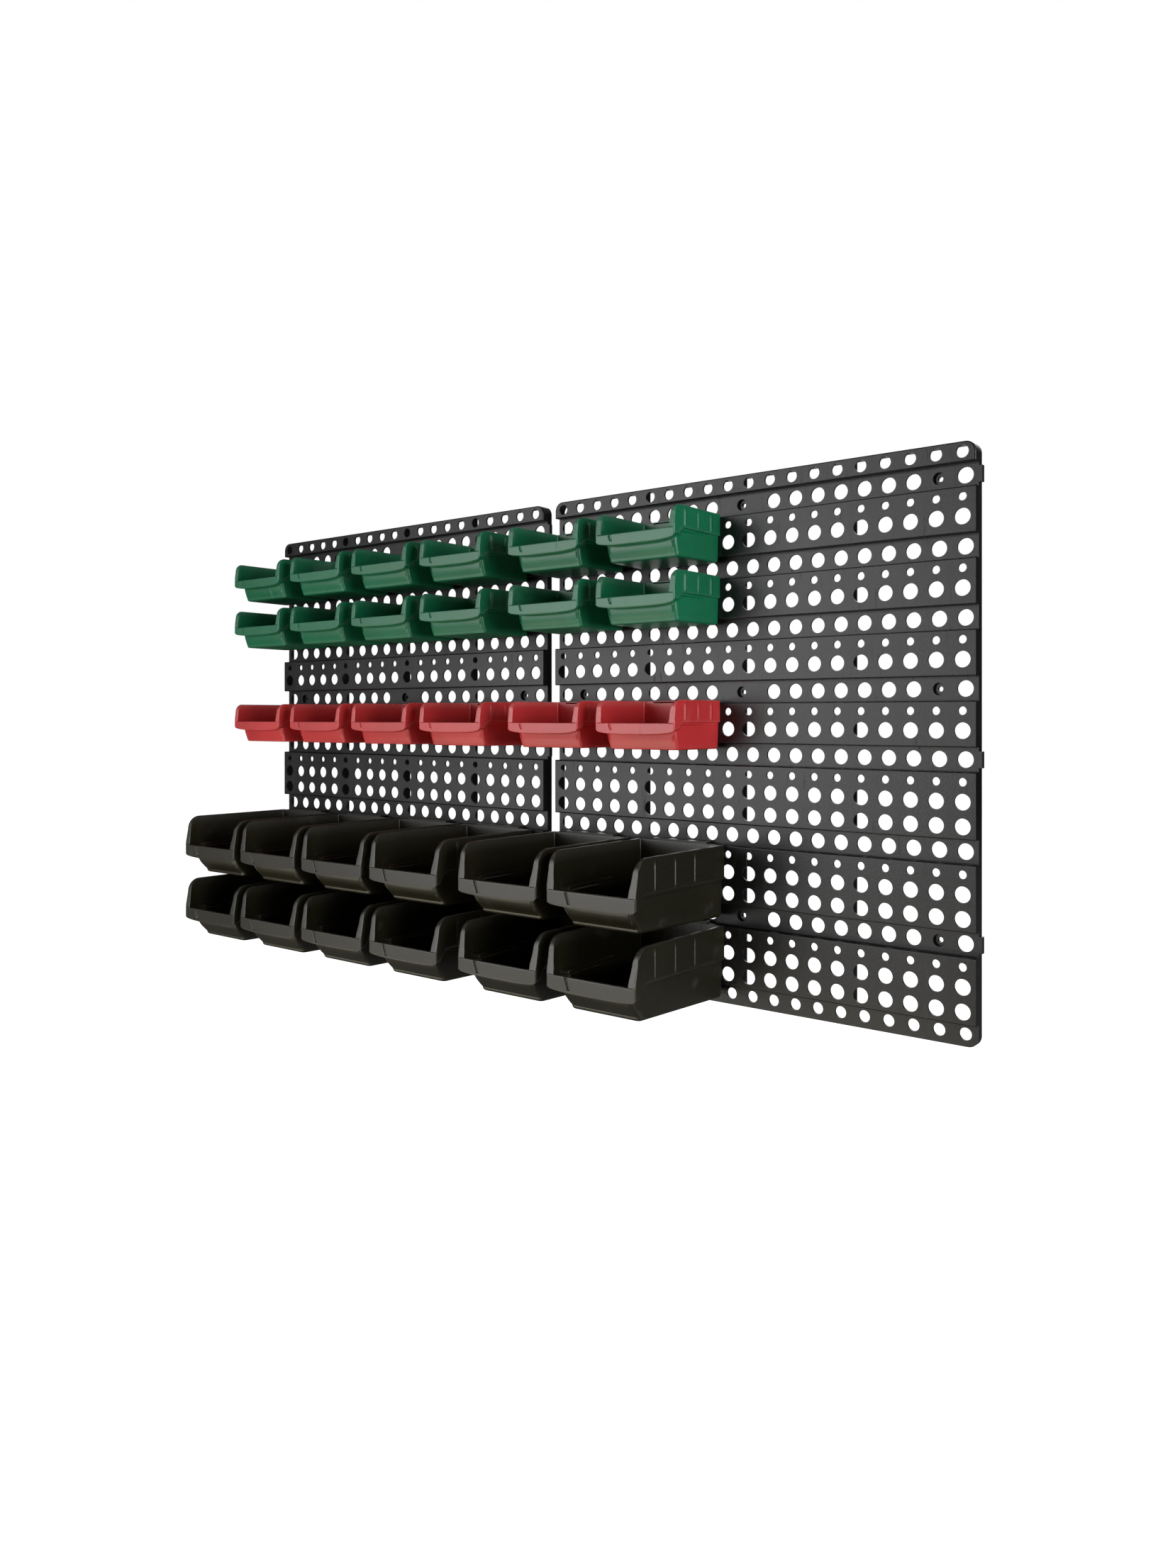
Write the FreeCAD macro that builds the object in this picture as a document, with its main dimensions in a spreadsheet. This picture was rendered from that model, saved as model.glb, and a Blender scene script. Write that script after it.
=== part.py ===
import FreeCAD, Part
import os
import Sketcher

# Wall-mounted storage board: two stepped, perforated panels side by side, with five rows of
# open-fronted bins hooked over the raised bands. X runs along the wall, the front faces -Y,
# Z is up. The origin is on the wall plane, midway between the outermost screw holes.

doc = FreeCAD.newDocument("storage_board")
sheet = doc.addObject("Spreadsheet::Sheet", "Sizes")

SIZES = {
    # hole grid and panel outline
    "pitch": 22.0,                # peg hole spacing along a row
    "columns": 20,                # peg holes in a row
    "panel_gap": 16.5,            # clear space between the two panels
    "corner_radius": 9.0,
    "top_strip": 16.4,            # raised strip along the top edge
    "channel": 20.0,              # recessed band between two raised ones
    "narrow_band": 37.8,
    "wide_band": 54.8,
    "bottom_strip": 18.9,
    "narrow_count": 4,
    "wide_count": 3,
    # panel depth and walls
    "recess_depth": 6.9,          # wall plane to the recessed faces
    "step_depth": 7.1,            # recessed faces to the raised faces
    "skin": 2.0,
    "rim_wall": 1.5,
    "ledge_wall": 1.5,
    "edge_round": 1.2,
    "rib_columns": 5,             # columns between two partition ribs
    "gutter_depth": 2.5,          # hook gutter behind the top edge of each raised band
    "gutter_floor": 1.0,
    # peg holes
    "large_hole": 13.5,
    "medium_hole": 10.4,
    "small_hole": 7.0,
    "small_row_drop": 8.1,        # band top down to the small holes
    "large_row_drop": 24.2,       # band top down to the large holes
    "second_row_drop": 44.2,      # wide band's second row of large holes
    "top_row_drop": 8.3,
    "bottom_row_rise": 10.3,
    # wall screws
    "screw_hole": 4.5,
    "screw_head": 10.5,
    "head_sink": 3.5,
    "boss": 16.0,
    "screw_side_column": 1,       # columns in from each side
    "patch_half_columns": 0.95,   # plain patch round the middle screw, in columns
    "tab_width": 2.7,
    "tab_height": 13.5,
    "tab_depth": 4.5,
    # bins, shared
    "bin_columns": 5,             # columns from one bin to the next
    "bin_offset": -8.0,           # bin's middle from the middle of its five columns
    "hang_gap": 0.3,              # clearance between bin and panel
    "hook_roof": 2.0,
    "hook_leg": 2.0,
    "leg_gap": 0.5,               # hook leg's end above the gutter's floor
    "hook_inset": 8.0,
    # small bins; reach, front, foot and top_reach are measured out from the back face
    "small_side_gap": 21.6,       # between the rims of two neighbours
    "small_back_inset": 1.3,      # rim's side to the body under it, at the back
    "small_front_inset": 5.5,     # the same at the front
    "small_overhang": 5.1,        # below the raised band's lower edge
    "small_rim_drop": 0.0,        # rim below the top of the hook
    "small_reach": 76.5,          # front of the lip
    "small_front": 66.7,          # front wall under the lip
    "small_foot": 63.0,           # front wall at the floor
    "small_top_reach": 74.0,      # front end of the top edge
    "small_lip_top": 24.2,
    "small_lip_height": 10.0,
    "small_step": 24.8,           # underside of the wider rim along the sides
    "small_cheek": 8.0,
    "small_wall": 1.8,
    # large bins
    "large_side_gap": 12.2,
    "large_back_inset": 1.9,
    "large_front_inset": 10.5,
    "large_overhang": 11.5,
    "large_rim_drop": 1.8,
    "large_reach": 141.0,
    "large_front": 130.0,
    "large_foot": 118.6,
    "large_top_reach": 136.0,
    "large_lip_top": 33.5,
    "large_lip_height": 15.0,
    "large_step": 35.0,
    "large_cheek": 14.0,
    "large_wall": 2.2,
}
for row, (name, value) in enumerate(SIZES.items(), start=1):
    sheet.set("A%d" % row, name)
    sheet.set("B%d" % row, "%g" % value)
    sheet.setAlias("B%d" % row, name)
doc.recompute()


def number(text):
    """Value of an expression on the sheet, in millimetres."""
    result = sheet.evalExpression(text)
    return float(getattr(result, "Value", result))


def on_sheet(text):
    """The same expression as another object writes it, with the sheet's name on each size."""
    words = text.replace("(", " ( ").replace(")", " ) ").split()
    return " ".join("Sizes." + word if word in SIZES else word for word in words)


def bind(thing, prop, text):
    thing.setExpression(prop, on_sheet(text))


# ---- sketch helpers ------------------------------------------------------------------

def new_sketch(body, name, plane, offset=None):
    """Sketch on one of the body's own planes, moved along its normal by an expression."""
    sketch = body.newObject("Sketcher::SketchObject", name)
    for feature in body.Origin.OriginFeatures:
        if feature.Role == plane:
            sketch.AttachmentSupport = [(feature, "")]
    sketch.MapMode = "FlatFace"
    if offset is not None:
        bind(sketch, "AttachmentOffset.Base.z", offset)
    return sketch


def pin_point(sketch, geometry, end, across, up):
    """Holds one end of a sketch line, or a circle's middle, at two expressions."""
    for kind, text in (("DistanceX", across), ("DistanceY", up)):
        index = sketch.addConstraint(Sketcher.Constraint(kind, -1, 1, geometry, end, number(text)))
        bind(sketch, "Constraints[%d]" % index, text)


def outline(sketch, corners):
    """Closed outline of straight lines through corners given as pairs of expressions."""
    points = [FreeCAD.Vector(number(a), number(b), 0) for a, b in corners]
    first = sketch.GeometryCount
    count = len(points)
    for i, point in enumerate(points):
        sketch.addGeometry(Part.LineSegment(point, points[(i + 1) % count]), False)
    for i, (across, up) in enumerate(corners):
        before = first + (i - 1) % count
        sketch.addConstraint(Sketcher.Constraint("Coincident", before, 2, first + i, 1))
        pin_point(sketch, first + i, 1, across, up)


def rectangle(sketch, left, right, low, high):
    outline(sketch, [(left, low), (right, low), (right, high), (left, high)])


def circle(sketch, across, up, diameter):
    middle = FreeCAD.Vector(number(across), number(up), 0)
    shape = Part.Circle(middle, FreeCAD.Vector(0, 0, 1), number(diameter) / 2)
    index = sketch.addGeometry(shape, False)
    pin_point(sketch, index, 3, across, up)
    size = sketch.addConstraint(Sketcher.Constraint("Diameter", index, number(diameter)))
    bind(sketch, "Constraints[%d]" % size, diameter)


# ---- feature helpers -----------------------------------------------------------------

def pad(body, name, sketch, length, both_ways=False):
    feature = body.newObject("PartDesign::Pad", name)
    feature.Profile = sketch
    feature.Midplane = both_ways
    bind(feature, "Length", length)
    return finish(body, feature)


def pocket(body, name, sketch, length, both_ways=False, reverse=False):
    before = body.Tip.Shape.Volume
    feature = body.newObject("PartDesign::Pocket", name)
    feature.Profile = sketch
    feature.Midplane = both_ways
    feature.Reversed = reverse
    bind(feature, "Length", length)
    finish(body, feature)
    if feature.Shape.Volume >= before - 1e-3:
        raise RuntimeError(name + " cuts nothing")
    return feature


def repeat(body, name, feature, sketch, across=None, down=None):
    """Repeats a feature along X (step, count) and down Z (step, count)."""
    pattern = body.newObject("PartDesign::LinearPattern", name)
    pattern.Originals = [feature]
    runs = [("H_Axis", across, False), ("V_Axis", down, True)]
    runs = [run for run in runs if run[1] is not None]
    for suffix, (axis, (step, count), backwards) in zip(("", "2"), runs):
        setattr(pattern, "Direction" + suffix, (sketch, [axis]))
        setattr(pattern, "Reversed" + suffix, backwards)
        bind(pattern, "Occurrences" + suffix, count)
        bind(pattern, "Length" + suffix, "( " + step + " ) * ( " + count + " - 1 )")
    return finish(body, pattern)


def round_edges(body, name, radius, wanted):
    """Fillets every edge of the current shape that wanted(edge) picks."""
    base = body.Tip
    names = ["Edge%d" % (i + 1) for i, edge in enumerate(base.Shape.Edges) if wanted(edge)]
    if not names:
        raise RuntimeError(name + " finds no edge")
    feature = body.newObject("PartDesign::Fillet", name)
    feature.Base = (base, names)
    bind(feature, "Radius", radius)
    return finish(body, feature)


def finish(body, feature):
    """Recomputes and refuses a feature that failed or is not sound."""
    body.Tip = feature
    doc.recompute()
    bad = {"Invalid", "Error"} & set(feature.State)
    if bad or feature.Shape.isNull() or not feature.Shape.isValid():
        raise RuntimeError("%s in %s failed" % (feature.Label, body.Label))
    return feature


def copy_of(master, name):
    """A second body with the same shape as the first, which follows its changes."""
    body = doc.addObject("PartDesign::Body", name)
    body.Label = name
    twin = body.newObject("PartDesign::FeatureBase", name + "_shape")
    twin.BaseFeature = master
    return body


def along(edge, direction):
    """True for a straight edge that runs along a unit direction."""
    if not isinstance(edge.Curve, Part.Line):
        return False
    return edge.Curve.Direction.cross(direction).Length < 1e-6


def near(a, b):
    return abs(a - b) < 1e-3


ALONG_X = FreeCAD.Vector(1, 0, 0)
ALONG_Y = FreeCAD.Vector(0, 1, 0)

# ---- derived places, as expressions -------------------------------------------------

PANEL_WIDTH = "( pitch * columns )"
NARROW_STEP = "( channel + narrow_band )"
WIDE_STEP = "( channel + wide_band )"
# heights are measured down from the panel's top edge
NARROW_TOP = "( top_strip + channel )"
WIDE_START = "( top_strip + narrow_count * " + NARROW_STEP + " )"
WIDE_TOP = "( " + WIDE_START + " + channel )"
PANEL_HEIGHT = "( " + WIDE_START + " + wide_count * " + WIDE_STEP + " + bottom_strip )"
# channels that hold the wall screws: the first, the fourth and the last
SCREW_DROPS = [
    "( top_strip + channel / 2 )",
    "( top_strip + channel / 2 + ( narrow_count - 1 ) * " + NARROW_STEP + " )",
    "( " + WIDE_START + " + channel / 2 + ( wide_count - 1 ) * " + WIDE_STEP + " )",
]
FULL_DEPTH = "( recess_depth + step_depth )"
# the origin lies midway between the first and the last screw channel
TOP_Z = "( ( " + SCREW_DROPS[0] + " + " + SCREW_DROPS[2] + " ) / 2 )"
FIRST_COLUMN = "( pitch / 2 )"


# ---- panel ---------------------------------------------------------------------------
# The panel is drawn with its top left corner at the body's origin: X to the right,
# heights negative, depth towards -Y.

def band_rectangle(body, name, drop, height, plane_offset=None, inset="0"):
    sketch = new_sketch(body, name, "XZ_Plane", plane_offset)
    left, right = inset, PANEL_WIDTH + " - " + inset
    rectangle(sketch, left, right, "0 - " + drop + " - " + height, "0 - " + drop)
    return sketch


def cell_rectangles(sketch, high, low):
    """One rectangle for each space between partition ribs; the ribs stay standing."""
    cells = int(number("columns / rib_columns"))
    for i in range(cells):
        left = "( pitch * rib_columns * %d + rim_wall )" % i
        right = "( pitch * rib_columns * %d )" % (i + 1)
        if i == cells - 1:
            right = "( " + PANEL_WIDTH + " - rim_wall )"
        rectangle(sketch, left, right, low, high)


def panel_blank(body):
    """Slab at the recessed level, with the top strip and the raised bands on it."""
    slab = new_sketch(body, "slab_outline", "XZ_Plane")
    rectangle(slab, "0", PANEL_WIDTH, "0 - " + PANEL_HEIGHT, "0")
    pad(body, "slab", slab, "recess_depth")

    strip = band_rectangle(body, "top_strip_outline", "0", "top_strip")
    pad(body, "top_strip_pad", strip, FULL_DEPTH)

    narrow = band_rectangle(body, "narrow_band_outline", NARROW_TOP, "narrow_band")
    narrow_pad = pad(body, "narrow_band_pad", narrow, FULL_DEPTH)
    repeat(body, "narrow_bands", narrow_pad, narrow, down=(NARROW_STEP, "narrow_count"))

    wide = band_rectangle(body, "wide_band_outline", WIDE_TOP, "wide_band")
    wide_pad = pad(body, "wide_band_pad", wide, FULL_DEPTH)
    repeat(body, "wide_bands", wide_pad, wide, down=(WIDE_STEP, "wide_count"))


def panel_hollows(body):
    """Cells open to the wall side, one level deep behind channels and deeper behind bands."""
    shallow = new_sketch(body, "shallow_cells", "XZ_Plane")
    cell_rectangles(shallow, "0 - rim_wall", "0 - " + PANEL_HEIGHT + " + rim_wall")
    pocket(body, "shallow_hollow", shallow, "recess_depth - skin", reverse=True)

    strip = new_sketch(body, "strip_cells", "XZ_Plane")
    cell_rectangles(strip, "0 - rim_wall", "0 - top_strip + ledge_wall")
    pocket(body, "strip_hollow", strip, FULL_DEPTH + " - skin", reverse=True)

    roof = "gutter_depth + gutter_floor"
    for name, top, height, step, count in (
            ("narrow", NARROW_TOP, "narrow_band", NARROW_STEP, "narrow_count"),
            ("wide", WIDE_TOP, "wide_band", WIDE_STEP, "wide_count")):
        cells = new_sketch(body, name + "_cells", "XZ_Plane")
        low = "0 - " + top + " - " + height + " + ledge_wall"
        cell_rectangles(cells, "0 - " + top + " - ( " + roof + " )", low)
        hollow = pocket(body, name + "_hollow", cells, FULL_DEPTH + " - skin", reverse=True)
        repeat(body, name + "_hollows", hollow, cells, down=(step, count))

        # open-topped gutter behind the band's front skin, for the bins' hooks
        gutter = band_rectangle(body, name + "_gutter_outline", top, "gutter_depth",
                                "recess_depth", "rim_wall")
        cut = pocket(body, name + "_gutter", gutter, "step_depth - skin", reverse=True)
        repeat(body, name + "_gutters", cut, gutter, down=(step, count))


def panel_rounding(body):
    width, height = number(PANEL_WIDTH), number(PANEL_HEIGHT)
    wall = number("rim_wall")

    def at_corner(inset):
        def wanted(edge):
            middle = edge.CenterOfMass
            side = near(middle.x, inset) or near(middle.x, width - inset)
            level = near(middle.z, -inset) or near(middle.z, inset - height)
            return along(edge, ALONG_Y) and side and level
        return wanted

    def on_front_edge(edge):
        middle = edge.CenterOfMass
        return along(edge, ALONG_X) and near(middle.y, -number(FULL_DEPTH))

    round_edges(body, "inner_corners", "corner_radius - rim_wall", at_corner(wall))
    round_edges(body, "outer_corners", "corner_radius", at_corner(0.0))
    round_edges(body, "band_edges", "edge_round", on_front_edge)


def hole_row(body, name, drop, diameter, step=None, count=None):
    """A row of peg holes right through the panel, repeated down the panel if it recurs."""
    sketch = new_sketch(body, name + "_circle", "XZ_Plane")
    circle(sketch, FIRST_COLUMN, "0 - ( " + drop + " )", diameter)
    hole = pocket(body, name + "_hole", sketch, FULL_DEPTH, reverse=True)
    down = (step, count) if step else None
    repeat(body, name + "_holes", hole, sketch, across=("pitch", "columns"), down=down)


def panel_peg_holes(body):
    middle = "channel / 2"
    hole_row(body, "top_row", "top_row_drop", "medium_hole")
    hole_row(body, "bottom_row", PANEL_HEIGHT + " - bottom_row_rise", "medium_hole")
    narrow = (NARROW_STEP, "narrow_count")
    hole_row(body, "narrow_channel", "top_strip + " + middle, "large_hole", *narrow)
    hole_row(body, "narrow_small", NARROW_TOP + " + small_row_drop", "small_hole", *narrow)
    hole_row(body, "narrow_large", NARROW_TOP + " + large_row_drop", "large_hole", *narrow)
    wide = (WIDE_STEP, "wide_count")
    hole_row(body, "wide_channel", WIDE_START + " + " + middle, "large_hole", *wide)
    hole_row(body, "wide_small", WIDE_TOP + " + small_row_drop", "small_hole", *wide)
    hole_row(body, "wide_large", WIDE_TOP + " + large_row_drop", "large_hole", *wide)
    hole_row(body, "wide_second", WIDE_TOP + " + second_row_drop", "large_hole", *wide)


def screw_columns():
    """X of the three screw columns: near the left, in the middle, near the right."""
    left = "( " + FIRST_COLUMN + " + pitch * screw_side_column )"
    middle = "( " + PANEL_WIDTH + " / 2 )"
    right = "( " + PANEL_WIDTH + " - " + left + " )"
    return left, middle, right


def panel_screws(body):
    """Bosses that close the peg holes they stand on, and the screw holes in them."""
    left, middle, right = screw_columns()
    patch = new_sketch(body, "patch_outline", "XZ_Plane", "recess_depth - skin")
    for drop in SCREW_DROPS:
        rectangle(patch, middle + " - pitch * patch_half_columns",
                  middle + " + pitch * patch_half_columns",
                  "0 - " + drop + " - boss / 2", "0 - " + drop + " + boss / 2")
    pad(body, "patches", patch, "skin")

    layers = (("boss_circles", "boss"), ("screw_circles", "screw_hole"), ("head_circles", "screw_head"))
    for name, diameter in layers:
        offset = "recess_depth - head_sink" if diameter == "screw_head" else None
        sketch = new_sketch(body, name, "XZ_Plane", offset)
        for drop in SCREW_DROPS:
            for column in (left, middle, right):
                circle(sketch, column, "0 - " + drop, diameter)
        if diameter == "boss":
            pad(body, "bosses", sketch, "recess_depth")
        elif diameter == "screw_hole":
            pocket(body, "screw_holes", sketch, "recess_depth", reverse=True)
        else:
            pocket(body, "head_sinks", sketch, "head_sink", reverse=True)


def panel_tabs(body):
    """Small spacing tabs on the right edge, level with three of the channels."""
    drops = [SCREW_DROPS[0], WIDE_START + " + channel / 2", SCREW_DROPS[2]]
    sketch = new_sketch(body, "tab_outlines", "XZ_Plane", "recess_depth - tab_depth")
    for drop in drops:
        rectangle(sketch, PANEL_WIDTH + " - rim_wall / 2", PANEL_WIDTH + " + tab_width",
                  "0 - ( " + drop + " ) - tab_height / 2", "0 - ( " + drop + " ) + tab_height / 2")
    pad(body, "tabs", sketch, "tab_depth")


def panel_master(name):
    body = doc.addObject("PartDesign::Body", name)
    body.Label = name
    panel_blank(body)
    panel_hollows(body)
    panel_rounding(body)
    panel_peg_holes(body)
    panel_screws(body)
    panel_tabs(body)
    return body


def place_panel(body, left_edge):
    bind(body, "Placement.Base.x", left_edge)
    bind(body, "Placement.Base.z", TOP_Z)


# ---- bins ----------------------------------------------------------------------------
# A bin is drawn in its own frame: X across with 0 in the middle, Y = 0 on its back face,
# the front towards -Y, Z = 0 under its floor.

# cuts run 1 mm past the faces they open
PAST = " + 1"
SHORT = " - 1"


def bin_height(size, band_height):
    """Floor to rim; the hook rises above the rim by the rim's drop."""
    return "( %s + %s_overhang + hang_gap + hook_roof - %s_rim_drop )" % (band_height, size, size)


def rim_width(size):
    """Rims leave the same gap between neighbours whatever the hole spacing is."""
    return "( pitch * bin_columns - %s_side_gap )" % size


def plan(body, name, size, inset, front, plane_offset=None):
    """Plan of the bin's body, narrower at the front than at the back."""
    sketch = new_sketch(body, name, "XY_Plane", plane_offset)
    back = "( %s / 2 - %s_back_inset - %s )" % (rim_width(size), size, inset)
    fore = "( %s / 2 - %s_front_inset - %s )" % (rim_width(size), size, inset)
    near_y, far_y = "0 - " + inset, "0 - " + front + " + " + inset
    outline(sketch, [("0 - " + back, near_y), ("0 - " + fore, far_y), (fore, far_y), (back, near_y)])
    return sketch


def side(body, name, points):
    """Side view outline: pairs of reach from the back face and height above the floor."""
    sketch = new_sketch(body, name, "YZ_Plane")
    outline(sketch, [("0 - ( " + reach + " )", height) for reach, height in points])
    return sketch


def bin_master(name, size, band_height):
    """One bin: tapered body, wider rim with the lip, hollow, rounded cheeks and rear hook."""
    s = size + "_"
    wall, tall = s + "wall", bin_height(size, band_height)
    width, reach, front, foot = rim_width(size), s + "reach", s + "front", s + "foot"
    lip_low = "( " + s + "lip_top - " + s + "lip_height )"
    body = doc.addObject("PartDesign::Body", name)
    body.Label = name

    pad(body, "body_block", plan(body, "body_plan", size, "0", front), tall)
    slope = side(body, "front_slope", [(front + PAST, "0" + SHORT), (front + PAST, lip_low),
                                       (front, lip_low), (foot, "0"), (foot, "0" + SHORT)])
    pocket(body, "front_slope_cut", slope, width, both_ways=True)

    # the rim runs along both sides above a step and drops at the front to form the lip
    rim = side(body, "rim_side", [("0", s + "step"), ("0", tall), (reach, tall), (reach, lip_low),
                                  (front + " - " + wall, lip_low),
                                  (front + " - " + wall + " - " + s + "lip_height / 2", s + "step")])
    pad(body, "rim_body", rim, width, both_ways=True)

    # the open front: everything above the lip and ahead of the cheeks is cut away
    lip_back = reach + " - " + wall
    mouth = side(body, "mouth_side", [(reach + PAST, s + "lip_top"), (lip_back, s + "lip_top"),
                                      (s + "top_reach", tall), (reach + PAST, tall)])
    pocket(body, "mouth", mouth, width, both_ways=True)

    hollow = plan(body, "hollow_plan", size, wall, foot, wall)
    pocket(body, "hollow", hollow, tall, reverse=True)
    over_lip, over_step = lip_low + " + " + wall, s + "step + " + wall
    shelf_front = front + " - 2 * " + wall
    upper = side(body, "upper_hollow_side", [(wall, over_step), (wall, tall), (lip_back, tall),
                                             (lip_back, over_lip), (shelf_front, over_lip),
                                             (shelf_front + " - " + s + "lip_height / 2", over_step)])
    pocket(body, "upper_hollow", upper, width + " - 2 * " + wall, both_ways=True)

    def cheek_corner(edge):
        middle = edge.CenterOfMass
        ahead = near(middle.y, -number(s + "top_reach"))
        return along(edge, ALONG_X) and ahead and near(middle.z, number(tall))

    round_edges(body, "cheeks", s + "cheek", cheek_corner)

    # rear hook: a roof over the band's top edge and a leg down into the gutter
    top = tall + " + " + s + "rim_drop"
    under = top + " - hook_roof"
    leg_end = under + " - hang_gap - gutter_depth + leg_gap"
    leg_near = "0 - ( 2 * hang_gap + skin )"
    leg_far = "0 - ( 2 * hang_gap + skin + hook_leg )"
    hook = side(body, "hook_side", [(wall, top), (wall, under), (leg_near, under), (leg_near, leg_end),
                                    (leg_far, leg_end), (leg_far, top)])
    pad(body, "hook", hook, width + " - 2 * ( " + s + "front_inset + hook_inset )", both_ways=True)
    return body


def hang(body, size, band_height, middle, band_drop):
    """Puts a bin on a raised band, its hook just clear of the band's top edge."""
    bind(body, "Placement.Base.x", middle)
    bind(body, "Placement.Base.y", "0 - " + FULL_DEPTH + " - hang_gap")
    floor = "%s - %s + hang_gap + hook_roof - %s_rim_drop - %s"
    bind(body, "Placement.Base.z", floor % (TOP_Z, band_drop, size, bin_height(size, band_height)))


def bin_middle(panel_left, place):
    """X of the middle of a bin on a panel: places count from the panel's left edge."""
    return "( " + panel_left + " + pitch * bin_columns * %g + bin_offset )" % (place + 0.5)


# ---- assembly ------------------------------------------------------------------------

LEFT_PANEL_X = "( 0 - " + PANEL_WIDTH + " - panel_gap / 2 )"
RIGHT_PANEL_X = "( panel_gap / 2 )"
panel_left = panel_master("panel_left")
panel_right = copy_of(panel_left, "panel_right")
place_panel(panel_left, LEFT_PANEL_X)
place_panel(panel_right, RIGHT_PANEL_X)
parts = [panel_left, panel_right]

# four bins hang on the left panel, two on the right one
BIN_PLACES = [(LEFT_PANEL_X, 0), (LEFT_PANEL_X, 1), (LEFT_PANEL_X, 2), (LEFT_PANEL_X, 3),
              (RIGHT_PANEL_X, 0), (RIGHT_PANEL_X, 1)]


def narrow_drop(number_down):
    return "( " + NARROW_TOP + " + %d * " % number_down + NARROW_STEP + " )"


def wide_drop(number_down):
    return "( " + WIDE_TOP + " + %d * " % number_down + WIDE_STEP + " )"


BIN_ROWS = [
    ("green_bin_upper", "small", "narrow_band", narrow_drop(0)),
    ("green_bin_lower", "small", "narrow_band", narrow_drop(1)),
    ("red_bin", "small", "narrow_band", narrow_drop(3)),
    ("black_bin_upper", "large", "wide_band", wide_drop(1)),
    ("black_bin_lower", "large", "wide_band", wide_drop(2)),
]
masters = {}
for row_name, size, band, drop in BIN_ROWS:
    for count, (panel_x, place) in enumerate(BIN_PLACES, start=1):
        bin_name = "%s_%d" % (row_name, count)
        if size in masters:
            part = copy_of(masters[size], bin_name)
        else:
            part = masters[size] = bin_master(bin_name, size, band)
        hang(part, size, band, bin_middle(panel_x, place), drop)
        parts.append(part)

doc.recompute()
for thing in doc.Objects:
    if {"Invalid", "Error"} & set(thing.State):
        raise RuntimeError(thing.Label + " failed")
for part in parts:
    if part.Shape.isNull() or not part.Shape.isValid() or len(part.Shape.Solids) != 1:
        raise RuntimeError(part.Label + " is not one sound solid")

os.makedirs("parts", exist_ok=True)
for part in parts:
    part.Shape.exportStep("parts/%s.step" % part.Label)
print("wrote %d parts" % len(parts))
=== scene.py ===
import math
import bpy
import numpy as np
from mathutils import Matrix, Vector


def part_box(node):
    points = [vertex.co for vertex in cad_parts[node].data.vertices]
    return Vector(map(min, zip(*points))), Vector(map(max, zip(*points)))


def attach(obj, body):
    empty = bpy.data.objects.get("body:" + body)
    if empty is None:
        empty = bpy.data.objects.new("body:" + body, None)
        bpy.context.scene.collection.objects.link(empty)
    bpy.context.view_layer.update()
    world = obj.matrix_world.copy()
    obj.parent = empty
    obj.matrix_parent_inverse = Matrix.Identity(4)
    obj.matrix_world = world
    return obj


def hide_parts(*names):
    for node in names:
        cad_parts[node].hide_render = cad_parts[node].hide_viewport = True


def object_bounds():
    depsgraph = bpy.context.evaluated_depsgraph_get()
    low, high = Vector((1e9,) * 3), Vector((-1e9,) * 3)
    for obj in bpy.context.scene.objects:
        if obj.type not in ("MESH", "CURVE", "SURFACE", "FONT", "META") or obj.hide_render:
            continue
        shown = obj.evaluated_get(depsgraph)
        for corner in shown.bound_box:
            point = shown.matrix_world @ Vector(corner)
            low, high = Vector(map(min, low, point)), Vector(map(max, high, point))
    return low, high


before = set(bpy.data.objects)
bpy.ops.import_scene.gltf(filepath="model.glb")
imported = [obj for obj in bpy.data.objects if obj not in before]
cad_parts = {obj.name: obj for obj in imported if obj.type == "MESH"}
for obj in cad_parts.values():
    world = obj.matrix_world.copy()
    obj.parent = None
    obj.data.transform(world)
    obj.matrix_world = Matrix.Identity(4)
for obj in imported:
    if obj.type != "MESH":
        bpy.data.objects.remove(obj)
cadLow, cadHigh = [list(corner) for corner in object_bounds()]
mm = 0.001
print("stage 1: frame loaded,", len(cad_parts), "nodes")


def addObject(name, data):
    made = bpy.data.objects.new(name, data)
    bpy.context.scene.collection.objects.link(made)
    return made


# camera: the board seen from the right, level with its middle
cameraLook = {
    "place": (0.76901, -0.91968, -0.00635),
    "turn": 38.4,            # degrees to the left of square-on
    "lens": 26.04,
    "shiftUp": -0.0426,
    "nearest": 0.01,
}


def addCamera(look):
    data = bpy.data.cameras.new("camera")
    data.lens = look["lens"]
    data.shift_y = look["shiftUp"]
    data.clip_start = look["nearest"]
    camera = addObject("camera", data)
    camera.location = look["place"]
    camera.rotation_euler = (math.radians(90), 0, math.radians(look["turn"]))
    bpy.context.scene.camera = camera


addCamera(cameraLook)


# shader sums: an Amount is one output socket, and arithmetic on it adds Math nodes
class Amount:
    def __init__(self, tree, socket):
        self.tree = tree
        self.socket = socket

    def calc(self, operation, first, second):
        return addNode(self.tree, "ShaderNodeMath", {"operation": operation}, {0: first, 1: second})

    def __add__(self, other):
        return self.calc("ADD", self, other)

    def __radd__(self, other):
        return self.calc("ADD", other, self)

    def __sub__(self, other):
        return self.calc("SUBTRACT", self, other)

    def __rsub__(self, other):
        return self.calc("SUBTRACT", other, self)

    def __mul__(self, other):
        return self.calc("MULTIPLY", self, other)

    def __rmul__(self, other):
        return self.calc("MULTIPLY", other, self)


def addNode(tree, kind, settings=None, inputs=None, output=0):
    node = tree.nodes.new(kind)
    for name, value in (settings or {}).items():
        setattr(node, name, value)
    for name, value in (inputs or {}).items():
        if isinstance(value, Amount):
            tree.links.new(value.socket, node.inputs[name])
        else:
            node.inputs[name].default_value = value
    return Amount(tree, node.outputs[output])


def feed(shader, name, value):    # link a worked-out value to one of the shader's sockets
    value.tree.links.new(value.socket, shader.inputs[name])


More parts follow.
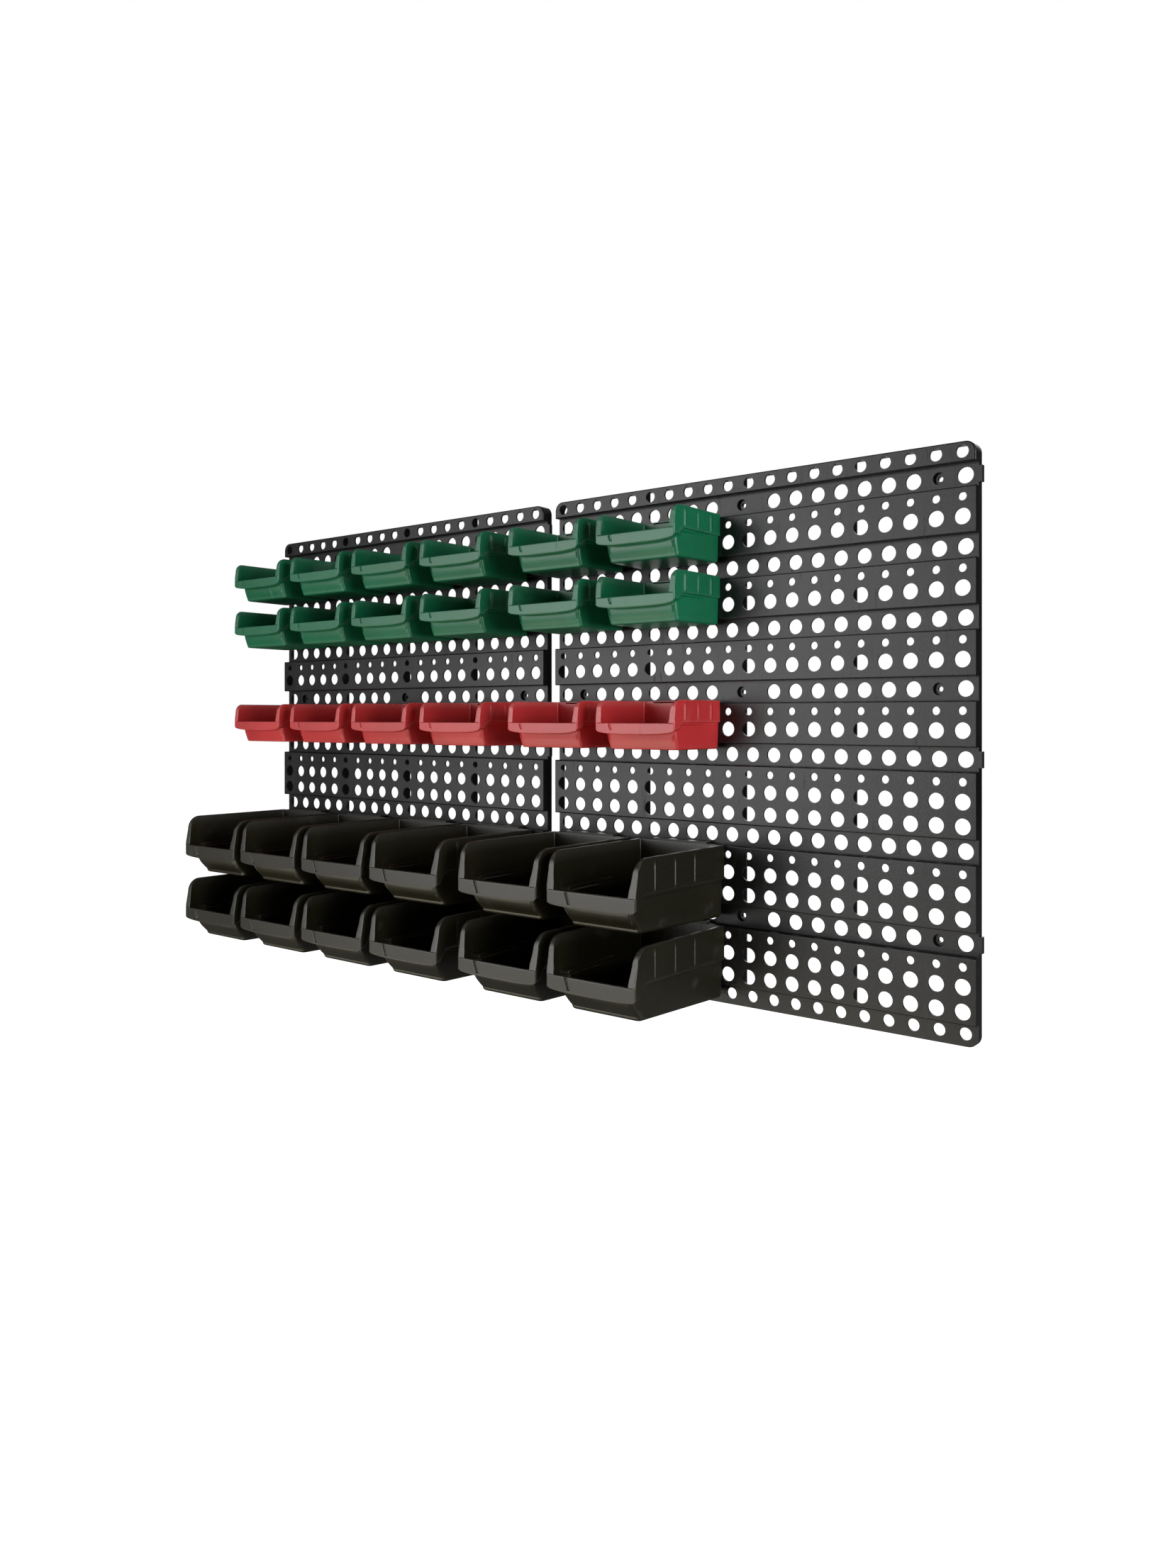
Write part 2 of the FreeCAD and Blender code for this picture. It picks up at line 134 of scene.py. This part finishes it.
def between(value, low, high):    # 0 below low, 1 above high, smooth in between
    settings = {"interpolation_type": "SMOOTHSTEP"}
    inputs = {"Value": value, "From Min": low, "From Max": high, "To Min": 0.0, "To Max": 1.0}
    return addNode(value.tree, "ShaderNodeMapRange", settings, inputs)


def tint(factor, first, second):  # colour mix; 6, 7 and output 2 are the Mix node's colour sockets
    inputs = {0: factor, 6: first, 7: second}
    return addNode(factor.tree, "ShaderNodeMix", {"data_type": "RGBA"}, inputs, output=2)


def noise(place, scale, detail):
    inputs = {"Vector": place, "Scale": scale, "Detail": detail}
    return addNode(place.tree, "ShaderNodeTexNoise", {}, inputs)


def newMaterial(name):
    material = bpy.data.materials.new(name)
    material.use_nodes = True
    tree = material.node_tree
    return material, tree, tree.nodes["Principled BSDF"]


# what every moulding shares; a range says where its noise starts to count and where it counts fully
mouldingDetail = {
    "cloudScale": 9.0, "cloudDetail": 4.0, "cloudRange": (0.35, 0.68), "cloudRough": 0.10,
    "grainDetail": 3.0, "wearRange": (0.30, 0.62), "grainRough": 0.10,
    "scuffTurn": (0.2, 0.35, 0.6), "scuffScale": (260.0, 22.0, 30.0), "scuffDetail": 5.0,
    "scuffRange": (0.62, 0.74), "scuffRough": 0.16, "scuffHeight": 0.4,
    "bumpDistance": 0.0004,
}
noiseMiddle = 0.5


def mouldedPlastic(name, look, detail):
    # satin moulding: cloudy tone, spark-eroded grain, fine scuffs, paler worn edges
    material, tree, shader = newMaterial(name)
    place = addNode(tree, "ShaderNodeTexCoord", output="Object")
    cloud = noise(place, detail["cloudScale"], detail["cloudDetail"])
    grain = noise(place, look["grainScale"], detail["grainDetail"])
    stretched = addNode(tree, "ShaderNodeMapping", {"vector_type": "POINT"},
                        {"Vector": place, "Rotation": detail["scuffTurn"], "Scale": detail["scuffScale"]})
    scuff = noise(stretched, 1.0, detail["scuffDetail"])
    scuffs = between(scuff, *detail["scuffRange"])
    tone = tint(between(cloud, *detail["cloudRange"]), look["deep"], look["pale"])
    tone = tint(scuffs * look["scuffs"], tone, look["worn"])
    if look["edges"]:
        edge = addNode(tree, "ShaderNodeAttribute", {"attribute_name": "edge"}, output="Fac")
        wear = edge * between(grain, *detail["wearRange"]) * look["edges"]
        tone = tint(wear, tone, look["worn"])
    feed(shader, "Base Color", tone)
    rough = (look["rough"] + detail["cloudRough"] * (cloud - noiseMiddle)
             + detail["scuffRough"] * scuffs + detail["grainRough"] * (grain - noiseMiddle))
    feed(shader, "Roughness", rough)
    bump = addNode(tree, "ShaderNodeBump", {},
                   {"Strength": look["bump"], "Distance": detail["bumpDistance"],
                    "Height": grain + detail["scuffHeight"] * scuff})
    feed(shader, "Normal", bump)
    shader.inputs["Specular IOR Level"].default_value = look["gloss"]
    return material


plasticLooks = {
    "panel": {"deep": (0.004, 0.004, 0.0045, 1), "pale": (0.012, 0.012, 0.013, 1),
              "worn": (0.10, 0.10, 0.105, 1), "rough": 0.34, "gloss": 0.58,
              "grainScale": 900.0, "bump": 0.25, "scuffs": 0.25, "edges": 0.0},
    "green": {"deep": (0.0, 0.150, 0.060, 1), "pale": (0.0, 0.19, 0.082, 1),
              "worn": (0.12, 0.30, 0.21, 1), "rough": 0.38, "gloss": 0.95,
              "grainScale": 800.0, "bump": 0.15, "scuffs": 0.25, "edges": 0.5},
    "red": {"deep": (0.58, 0.028, 0.032, 1), "pale": (0.74, 0.040, 0.045, 1),
            "worn": (0.80, 0.22, 0.22, 1), "rough": 0.38, "gloss": 0.95,
            "grainScale": 800.0, "bump": 0.15, "scuffs": 0.25, "edges": 0.5},
    "black": {"deep": (0.010, 0.0088, 0.0015, 1), "pale": (0.015, 0.013, 0.003, 1),
              "worn": (0.07, 0.07, 0.07, 1), "rough": 0.38, "gloss": 0.85,
              "grainScale": 800.0, "bump": 0.15, "scuffs": 0.22, "edges": 0.4},
}
plastics = {name: mouldedPlastic(name + "Plastic", look, mouldingDetail)
            for name, look in plasticLooks.items()}
print("stage 2: materials made")


# panels keep their own shape and take the moulded finish
for name in ("panel_left", "panel_right"):
    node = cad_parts[name]
    node.data.materials.clear()
    node.data.materials.append(plastics["panel"])
print("stage 3: panels finished")


# bins, in millimetres; reach, front and foot run out from the back face, heights up from the floor
smallBin = {
    "rimWidth": 88.4, "backWidth": 85.8, "frontWidth": 77.4,
    "reach": 76.5, "front": 66.7, "foot": 63.0,
    "lipTop": 24.2, "lipHeight": 8.0, "lipSag": 2.6, "step": 24.8,
    "cheekLean": 1.5, "cheekRound": 8.0, "wall": 1.8, "rimWall": 2.6, "flange": 6.0,
    "ribs": (16.0, 37.5, 59.0), "ribTop": 3.0, "ribFoot": 1.0, "ribHigh": 0.5, "ribWide": 1.4,
    "notch": -28.5, "notchDeep": 6.5, "hookInset": 8.0, "rimDrop": 0.0,
    "floorRound": 2.4, "footCorner": 3.0,
}
largeBin = {
    "rimWidth": 97.8, "backWidth": 94.0, "frontWidth": 76.8,
    "reach": 141.0, "front": 132.5, "foot": 120.5,
    "lipTop": 33.5, "lipHeight": 12.6, "lipSag": 2.2, "step": 35.0,
    "cheekLean": 3.5, "cheekRound": 14.0, "wall": 2.2, "rimWall": 3.4, "flange": 8.0,
    "ribs": (50.0, 81.0, 112.0), "ribTop": 4.5, "ribFoot": 1.0, "ribHigh": 0.6, "ribWide": 1.5,
    "notch": -27.5, "notchDeep": 12.0, "hookInset": 8.0, "rimDrop": 1.8,
    "floorRound": 3.6, "footCorner": 4.0,
}
# what both sizes share: corners are radii in plan, rounds are radii seen from the side
binDetail = {
    "rimCorner": 1.2, "rimRound": 0.8, "bodyCorner": 2.4, "footInset": 0.5,
    "innerCorner": 1.6, "innerRound": 2.0, "flangeCorner": 1.0, "flangeRun": 4.0,
    "leanMore": 0.6,                                      # least lean of a cheek past the rim's corner
    "lipBack": 14.0, "lipRise": 10.0,                     # where the lip's underside rises to the step
    "lipTipWide": 3.5, "lipTipHigh": 2.4,                 # rounded lower corners of the lip
    "grooveInset": 2.8, "grooveHalf": 1.3, "grooveDeep": 0.9, "grooveFrom": 0.4,
    "grooveSpan": (-1.5, 1.5), "sideSpace": 4.0,
    "notchHalf": 1.5, "notchIn": 1.2, "notchSlant": 0.35, "notchSpan": (-6.5, 2.5),
    "fade": 0.8,                                          # how far a groove or notch fades out
    "ribFade": 0.6,                                       # the same of a rib, as a share of its width
    "bodyTop": 1.2, "rimFoot": 1.0,                       # body's top below the ledge, rim's foot above
    "lipTuck": 1.2, "innerTuck": 0.8,                     # steps where the inside goes in under the lip
    "floorShares": (0.02, 0.35, 0.7), "floorBend": 0.05,  # floor's rings, and where its round begins
    "floorWear": 0.15, "footWear": 0.5, "rimWear": 1.0, "sideWear": 0.1,
    "swellStraight": 0.35,                                # how much of the front's slant is straight
    "sharpFrom": 35,                                      # degrees between faces
}
hook = {"gap": 0.3, "skin": 2.0, "leg": 2.0, "roof": 2.0, "drop": 2.0, "bevel": 0.5, "wear": 0.3}
rimCorner = binDetail["rimCorner"]
rimRound = binDetail["rimRound"]


def smooth(value):                # 0 below 0, 1 above 1, and 3 v squared - 2 v cubed in between
    value = np.clip(value, 0, 1)
    return value * value * (3 - 2 * value)


def blend(first, second, share):  # share of the way from first to second
    return first + (second - first) * share


def swell(share):                 # way out at a share of the height: a straight part and a sine part
    straight = binDetail["swellStraight"]
    return straight * share + (1 - straight) * math.sin(math.pi / 2 * share)


def leanRun(size):                # how far back a cheek's front edge leans
    return max(size["cheekLean"], rimCorner + binDetail["leanMore"])


def sideStops(size):
    # how far out from the back each column of the side wall stands, front corner first: evenly up
    # the leaning cheek, at even angles round its quarter circle, then one sideSpace apart along the
    # level side, with more across each rib
    leaning = size["reach"] - np.linspace(rimCorner + 0.3, leanRun(size), 5)
    turning = leaning[-1] - size["cheekRound"] * (1 - np.cos(np.linspace(0.12, math.pi / 2, 9)))
    level = np.arange(turning[-1] - 3, rimCorner + 1, -binDetail["sideSpace"])
    acrossRib = np.array([-1, -0.6, -0.25, 0.25, 0.6, 1]) * size["ribWide"]
    ribs = (np.array(size["ribs"])[:, None] + acrossRib).ravel()
    level = np.sort(np.concatenate([level, ribs[ribs < turning[-1]]]))[::-1]
    return np.concatenate([[size["reach"] - rimCorner], leaning, turning, level, [rimCorner]])


def frontColumns(size):
    # how far from the middle each column of the rim's front stands: evenly, with more at the notch
    # and at the groove beside the front corner
    rimFlat = size["rimWidth"] / 2 - rimCorner
    bodyFlat = size["frontWidth"] / 2 - binDetail["bodyCorner"]
    notch = abs(size["notch"]) + np.linspace(*binDetail["notchSpan"], 14)
    groove = size["frontWidth"] / 2 - binDetail["grooveInset"] + np.linspace(*binDetail["grooveSpan"], 5)
    groove = groove * rimFlat / bodyFlat
    columns = np.concatenate([np.linspace(0, rimFlat, 15), notch, groove[groove < rimFlat]])
    return np.sort(columns) / rimFlat


def contour(size, halfBack, halfFront, reach, radius, back=0.0, flare=1.0):
    # plan outline as one loop: front middle, right side, back, left side. A side's half width goes
    # from halfBack to halfFront with the share of its length to the power flare, and a quarter
    # circle turns each corner. Every outline of a bin has the same number of points, so surfaces
    # can run between any two of them
    stops = sideStops(size)
    turn = np.linspace(0, math.pi / 2, 6)[1:-1]
    frontX = frontColumns(size) * (halfFront - radius)
    frontY = np.full_like(frontX, -reach)
    share = (stops - rimCorner) / (size["reach"] - 2 * rimCorner)     # 1 at the front, 0 at the back
    sideX = halfBack + (halfFront - halfBack) * share ** flare
    sideY = -(back + radius + share * (reach - 2 * radius - back))
    frontTurnX = halfFront - radius + radius * np.sin(turn)
    frontTurnY = -reach + radius - radius * np.cos(turn)
    backTurnX = halfBack - radius + radius * np.cos(turn)
    backTurnY = -back - radius + radius * np.sin(turn)
    backX = np.linspace(halfBack - radius, 0, 10)
    x = np.concatenate([frontX, frontTurnX, sideX, backTurnX, backX])
    y = np.concatenate([frontY, frontTurnY, sideY, backTurnY, np.full_like(backX, -back)])
    right = np.stack([x, y], axis=1)
    left = right[::-1][1:-1] * np.array([-1.0, 1.0])
    return np.concatenate([right, left])


def innerRim(size, rim):
    # the rim's inner outline: a wide flange inside the front that narrows to the rim's wall along
    # the sides, and the same outline with the cheeks' front edge brought out level with the lip
    halfRim, reach = size["rimWidth"] / 2, size["reach"]
    inRim = contour(size, halfRim - size["rimWall"], halfRim - size["flange"], reach - size["rimWall"],
                    binDetail["flangeCorner"], size["wall"], reach / binDetail["flangeRun"])
    onCheek = (np.abs(rim[:, 0]) > halfRim - rimCorner * 0.8) & (rim[:, 1] < -reach / 2)
    flange = inRim.copy()
    flange[onCheek, 1] = np.minimum(inRim[onCheek, 1], rim[onCheek, 1])
    return inRim, flange


def rimHeights(size, rim, tall):
    # lower and upper edge of the rim over each point of its outline
    aside = np.abs(rim[:, 0])
    run = size["reach"] + rim[:, 1]                            # how far behind the lip
    # lower edge: under the lip a shallow smile, sag times 1 less the fourth power of the share
    # across, with a quarter ellipse at each end, and a smooth rise to the step along the sides
    lipLow = size["lipTop"] - size["lipHeight"]
    lipLow = lipLow - size["lipSag"] * (1 - (aside / (size["rimWidth"] / 2)) ** 4)
    tipWide = binDetail["lipTipWide"]
    tip = np.clip((aside - (size["rimWidth"] / 2 - tipWide)) / tipWide, 0, 1)
    lipLow = lipLow + binDetail["lipTipHigh"] * (1 - np.sqrt(1 - tip ** 2))
    ledge = blend(size["step"], lipLow, smooth((binDetail["lipBack"] - run) / binDetail["lipRise"]))
    # upper edge: level lip, straight leaning cheek, quarter circle over its top, level side
    bend, lean = size["cheekRound"], leanRun(size)
    high = blend(size["lipTop"], tall - bend, np.clip(run / lean, 0, 1))
    over = np.clip(run - lean, 0, bend)
    return ledge, high + np.sqrt(bend ** 2 - (bend - over) ** 2)


def binGrid(size, tall):
    # each row is one outline at a height, part of the way between two outlines and two heights;
    # rows run up the outside, over the rim and down the inside. Each point also has its wear
    wall, inset = size["wall"], binDetail["footInset"]
    halfRim, halfBack, halfFront = size["rimWidth"] / 2, size["backWidth"] / 2, size["frontWidth"] / 2
    rim = contour(size, halfRim, halfRim, size["reach"], rimCorner)
    body = contour(size, halfBack, halfFront, size["front"], binDetail["bodyCorner"])
    foot = contour(size, halfBack - inset, halfFront - inset, size["foot"], size["footCorner"])
    inBody = contour(size, halfBack - wall, halfFront - wall, size["front"] - wall,
                     binDetail["innerCorner"], wall)
    inFoot = contour(size, halfBack - wall - inset, halfFront - wall - inset, size["foot"] - wall,
                     binDetail["innerCorner"], wall)
    inRim, flange = innerRim(size, rim)
    ledge, high = rimHeights(size, rim, tall)
    reachOut = -rim[:, 1]
    onFront = reachOut > size["reach"] - 1e-6
    onSide = np.abs(rim[:, 0]) > 0.999 * halfRim
    fade = binDetail["fade"]
    rows, edge = [], []

    def add(points, z, wear=0.0):
        rows.append(np.column_stack([points, np.broadcast_to(z, len(points))]))
        edge.append(np.full(len(points), wear))

    # floor, with a rounded edge
    centre = np.array([0.0, -size["foot"] / 2])
    floorShares, floorBend = binDetail["floorShares"], binDetail["floorBend"]
    for share in floorShares:
        add(blend(centre, foot, share), 0.0)
    for turn in np.linspace(0, math.pi / 2, 6):
        points = blend(centre, foot, 1 - floorBend * (1 - math.sin(turn)))
        add(points, size["floorRound"] * (1 - math.cos(turn)), binDetail["floorWear"])

    # body, with a short groove beside each front corner: its depth times the smooth fall across it
    beside = halfFront - binDetail["grooveInset"] - np.abs(body[:, 0])
    groove = smooth((binDetail["grooveHalf"] - np.abs(beside)) / fade) * onFront * binDetail["grooveDeep"]
    bodyTop = ledge - binDetail["bodyTop"]
    for share in (0.2, 0.4, 0.5, 0.6, 0.8, 0.92):
        points = blend(foot, body, swell(share))
        points[:, 1] += groove * smooth((share - binDetail["grooveFrom"]) / 0.1)
        add(points, blend(size["floorRound"], bodyTop, share))
    add(body, bodyTop)

    # underside of the rim, hollow behind its edge: share of the way out, rise and wear
    for share, rise, wear in ((0.03, -0.5, 0.0), (0.12, -0.1, 0.0), (0.80, 0.1, 0.3), (0.95, 0.3, 0.8)):
        add(blend(body, rim, share), ledge + rise, wear)
    rimFoot = ledge + binDetail["rimFoot"]
    add(rim, rimFoot, binDetail["footWear"])

    # outside of the rim, with the ribs raised on its sides and the slanting notch in its front
    inRibs = (np.abs(reachOut[:, None] - np.array(size["ribs"])) / size["ribWide"]).min(axis=1)
    ribShape = smooth((1 - inRibs) / binDetail["ribFade"]) * onSide
    for share in np.linspace(0, 1, 15)[1:]:
        z = blend(rimFoot, high - rimRound, share)
        points = rim.copy()
        lift = ribShape * smooth(z - size["step"] - size["ribFoot"]) * smooth(tall - size["ribTop"] - z)
        points[:, 0] += np.sign(points[:, 0]) * lift * size["ribHigh"]
        down = size["lipTop"] - z
        off = np.abs(points[:, 0] - size["notch"] - down * binDetail["notchSlant"])
        dent = smooth((binDetail["notchHalf"] - off) / fade) * smooth(size["notchDeep"] - down) * onFront
        points[:, 1] += dent * binDetail["notchIn"]
        add(points, z, binDetail["sideWear"])

    # over the rim: a quarter circle at each edge of its wall, and level between them
    for turn in np.linspace(0, math.pi, 9)[1:]:
        share = rimRound / size["rimWall"] * (1 - abs(math.cos(turn)))
        share = share if turn <= math.pi / 2 else 1 - share
        z = high - rimRound + rimRound * math.sin(turn)
        add(blend(rim, flange, share), z, binDetail["rimWear"])

    # down the inside: the cheeks, then the rim, and in under it to the body
    lipInside = size["lipTop"] - rimRound
    lipTuck, innerTuck = binDetail["lipTuck"], binDetail["innerTuck"]
    for share in (0.3, 0.65, 1.0):
        add(flange, blend(high - rimRound, lipInside - 0.1, share))
    inside = np.minimum(ledge + wall, lipInside - lipTuck)
    for share in (0.05, 0.5, 1.0):
        add(inRim, blend(lipInside - 0.2, inside + innerTuck, share))
    inTop = inside - innerTuck
    add(blend(inRim, inBody, 0.15), inside + 0.2)
    add(blend(inRim, inBody, 0.9), inside)
    add(inBody, inTop)

    # inside of the body and the floor, the outside's formula over again
    inRound = binDetail["innerRound"]
    for share in (0.8, 0.6, 0.4, 0.2):
        add(blend(inFoot, inBody, swell(share)), blend(wall + inRound, inTop, share))
    for turn in np.linspace(0, math.pi / 2, 4):
        points = blend(inFoot, centre, floorBend * (1 - math.cos(turn)))
        add(points, wall + inRound * (1 - math.sin(turn)))
    for share in reversed(floorShares):
        add(blend(centre, inFoot, share), wall)
    return np.stack(rows), np.stack(edge)


def hookStrip(size, tall):
    # roof and leg of the rear hook: one bent profile, carried straight across the back
    half = size["frontWidth"] / 2 - size["hookInset"]
    top = tall + size["rimDrop"]
    near = 2 * hook["gap"] + hook["skin"]
    far = near + hook["leg"]
    under = top - hook["roof"]
    end = under - hook["gap"] - hook["drop"]
    bevel = hook["bevel"]
    profile = np.array([(-size["wall"], top), (far - bevel, top), (far, top - bevel),
                        (far, end + bevel), (far - bevel, end), (near + bevel, end),
                        (near, end + bevel), (near, under), (-size["wall"], under)])
    return np.stack([np.column_stack([np.full(len(profile), x), profile]) for x in (-half, half)])


def ringFaces(rings, loop, first=0):
    # quads between neighbouring rings of loop points each, and a cap on the first and last ring
    here = np.arange(loop)
    beside = (here + 1) % loop
    ring = first + np.arange(rings - 1)[:, None] * loop
    quads = np.stack([ring + here, ring + beside, ring + loop + beside, ring + loop + here], axis=2)
    firstCap = tuple(range(first + loop - 1, first - 1, -1))
    lastCap = tuple(range(first + (rings - 1) * loop, first + rings * loop))
    return [tuple(quad) for quad in quads.reshape(-1, 4).tolist()] + [firstCap, lastCap]


def addBin(node, size, finish):
    low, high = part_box(node)
    tall = (high[2] - low[2]) / mm - size["rimDrop"]
    middle = (low[0] + high[0]) / 2
    backFace = high[1] - (2 * hook["gap"] + hook["skin"] + hook["leg"]) * mm
    rows, edge = binGrid(size, tall)
    strip = hookStrip(size, tall)
    count = rows.shape[0] * rows.shape[1]
    points = np.concatenate([rows.reshape(-1, 3), strip.reshape(-1, 3)])
    points = points * mm + np.array([middle, backFace, low[2]])
    wear = np.concatenate([edge.reshape(-1), np.full(len(points) - count, hook["wear"])])
    faces = ringFaces(rows.shape[0], rows.shape[1])
    faces += [face[::-1] for face in ringFaces(strip.shape[0], strip.shape[1], count)]
    mesh = bpy.data.meshes.new(node + "Shell")
    mesh.from_pydata(points.tolist(), [], faces)
    layer = mesh.attributes.new("edge", "FLOAT", "POINT")
    layer.data.foreach_set("value", wear)
    mesh.polygons.foreach_set("use_smooth", np.ones(len(mesh.polygons), dtype=bool))
    mesh.set_sharp_from_angle(angle=math.radians(binDetail["sharpFrom"]))
    mesh.materials.append(plastics[finish])
    piece = addObject(node + "Shell", mesh)
    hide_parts(node)
    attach(piece, node)


binsInRow = 6
binRows = (("green_bin_upper", smallBin, "green"), ("green_bin_lower", smallBin, "green"),
           ("red_bin", smallBin, "red"),
           ("black_bin_upper", largeBin, "black"), ("black_bin_lower", largeBin, "black"))
for rowName, size, finish in binRows:
    for number in range(1, binsInRow + 1):
        addBin("%s_%d" % (rowName, number), size, finish)
print("stage 4: bins made")


# room: pale floor, white surround, soft light
roomLook = {
    "floorDrop": 0.35, "floorSize": 12.0, "floorGrey": 0.2, "floorRough": 0.9,
    "floorGlow": 0.01, "surround": 0.003, "white": 1.1,
}


def whiteOnlyInView(tree, dim):   # white background behind the object, little light from it
    seen = addNode(tree, "ShaderNodeLightPath", output="Is Camera Ray")
    return tint(seen, (dim, dim, dim, 1), (1, 1, 1, 1))


def addFloor(look):
    half = look["floorSize"] / 2
    z = cadLow[2] - look["floorDrop"]
    corners = [(-half, -half, z), (half, -half, z), (half, half, z), (-half, half, z)]
    mesh = bpy.data.meshes.new("floor")
    mesh.from_pydata(corners, [], [(0, 1, 2, 3)])
    material, tree, shader = newMaterial("floorWhite")
    grey = look["floorGrey"]
    shader.inputs["Base Color"].default_value = (grey, grey, grey, 1)
    shader.inputs["Roughness"].default_value = look["floorRough"]
    shader.inputs["Emission Strength"].default_value = look["white"]
    feed(shader, "Emission Color", whiteOnlyInView(tree, look["floorGlow"]))
    mesh.materials.append(material)
    addObject("floor", mesh)


def addWorld(look):
    world = bpy.data.worlds.new("surround")
    bpy.context.scene.world = world
    world.use_nodes = True
    shader = world.node_tree.nodes["Background"]
    shader.inputs["Strength"].default_value = 1.0
    feed(shader, "Color", whiteOnlyInView(world.node_tree, look["surround"]))


lamps = {
    "front": {"place": (-1.1, -2.2, 0.05), "aim": (0, 0, -0.05), "size": (1.8, 2.1),
              "power": 33, "tone": (1, 1, 1)},
    "right": {"place": (2.5, -0.5, 0.32), "aim": (0, 0, 0), "size": (1.3, 1.3),
              "power": 37, "tone": (1, 1, 1)},
    "low": {"place": (-0.25, -0.5, -0.62), "aim": (-0.25, -0.35, 0), "size": (1.4, 0.5),
            "power": 5.5, "tone": (1, 0.92, 0.72)},
    "top": {"place": (-0.9, -0.6, 2.2), "aim": (0, 0, 0), "size": (1.8, 1.0),
            "power": 4, "tone": (1, 1, 1)},
    "back": {"place": (-0.6, 2.4, 0.7), "aim": (0, 0, 0), "size": (2.4, 1.8),
             "power": 26, "tone": (1, 1, 1)},
}


def addLamp(name, look):          # a soft rectangle of light, turned to face its aim, itself unseen
    data = bpy.data.lights.new(name, "AREA")
    data.shape = "RECTANGLE"
    data.size, data.size_y = look["size"]
    data.energy = look["power"]
    data.color = look["tone"]
    lamp = addObject(name, data)
    lamp.location = look["place"]
    aim = np.array(look["aim"], float) - np.array(look["place"])
    flat = math.hypot(aim[0], aim[1])
    lamp.rotation_euler = (math.atan2(flat, -aim[2]), 0, math.atan2(aim[1], aim[0]) - math.pi / 2)
    lamp.visible_camera = False


addFloor(roomLook)
addWorld(roomLook)
for name, look in lamps.items():
    addLamp(name, look)
bpy.context.scene.view_settings.view_transform = "Standard"
print("stage 5: room and light made")
